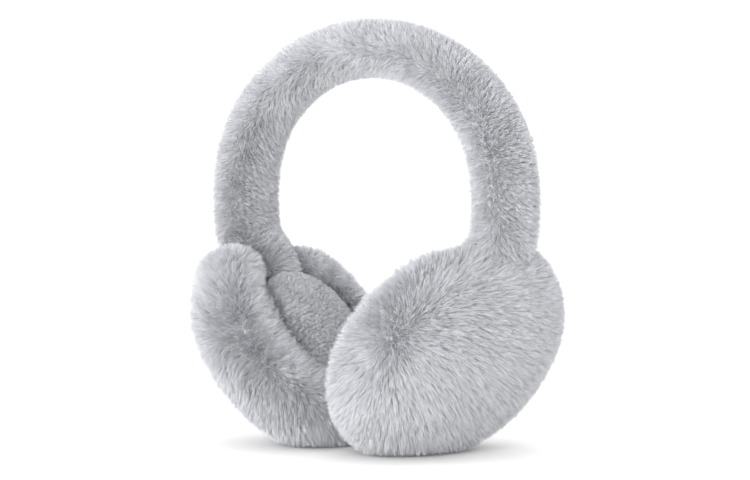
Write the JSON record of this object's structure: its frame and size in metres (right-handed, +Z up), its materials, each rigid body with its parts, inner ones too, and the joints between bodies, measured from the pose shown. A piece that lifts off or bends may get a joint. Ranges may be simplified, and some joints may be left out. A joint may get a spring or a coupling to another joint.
{
  "type": "fur earmuffs",
  "caption": "Plush fur earmuffs: a fur-covered headband arch with a deep-fur cup and a padded ear cushion at each end, standing on its cups.",
  "frame": {"origin": "on the surface that the cups stand on, under the middle of the whole object's box", "axes": "+X from the left cup to the right cup, +Y from front to back, +Z up to the top of the arch"},
  "size_m": [0.2189, 0.1434, 0.2344],
  "materials": {
    "band_fur": "light grey plush faux fur, brushed down from the arch's top",
    "cup_fur": "light grey long plush faux fur, brushed out from the dome's middle",
    "pad_plush": "light grey short plush"
  },
  "bodies": {
    "root": {"headband_fur": "band_fur", "left_cup_fur": "cup_fur", "right_cup_fur": "cup_fur", "left_ear_pad": "pad_plush", "right_ear_pad": "pad_plush"}
  },
  "joints": []
}
